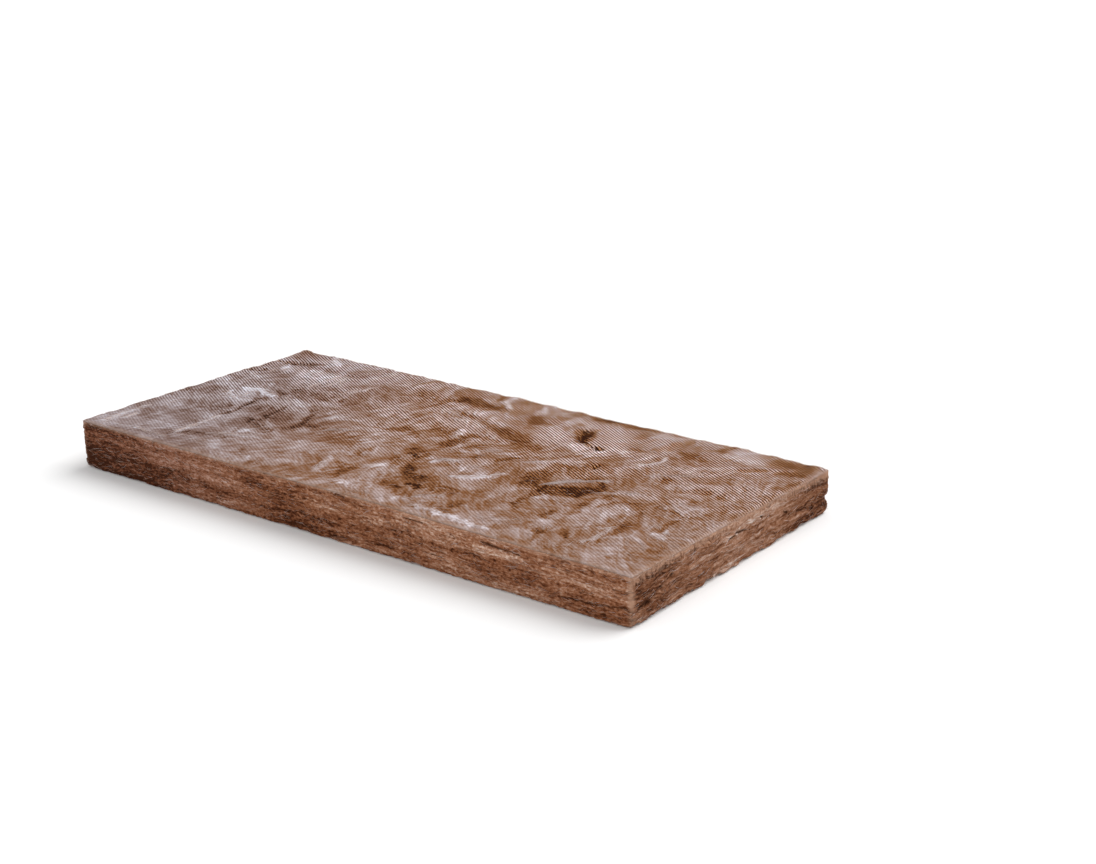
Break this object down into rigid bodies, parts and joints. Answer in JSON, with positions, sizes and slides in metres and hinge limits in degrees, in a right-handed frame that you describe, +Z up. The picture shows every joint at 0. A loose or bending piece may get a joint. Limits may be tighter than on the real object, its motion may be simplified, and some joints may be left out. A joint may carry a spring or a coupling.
{
  "type": "fiberglass insulation batt",
  "caption": "Rectangular slab of brown glass wool with sawn side faces, chopped ends and a belt-marked top, for filling the space between joists, studs or rafters.",
  "frame": {"origin": "middle of the underside, which lies on the floor", "axes": "+X along the length, +Y across the width from the front cut face to the back one, +Z up through the thickness"},
  "size_m": [1.2481, 0.5992, 0.0918],
  "materials": {
    "glass_wool": "matte fibrous glass wool, pale mauve-beige on the belt-marked faces and darker brown on the cut faces"
  },
  "bodies": {
    "root": {"batt": "glass_wool"}
  },
  "joints": []
}
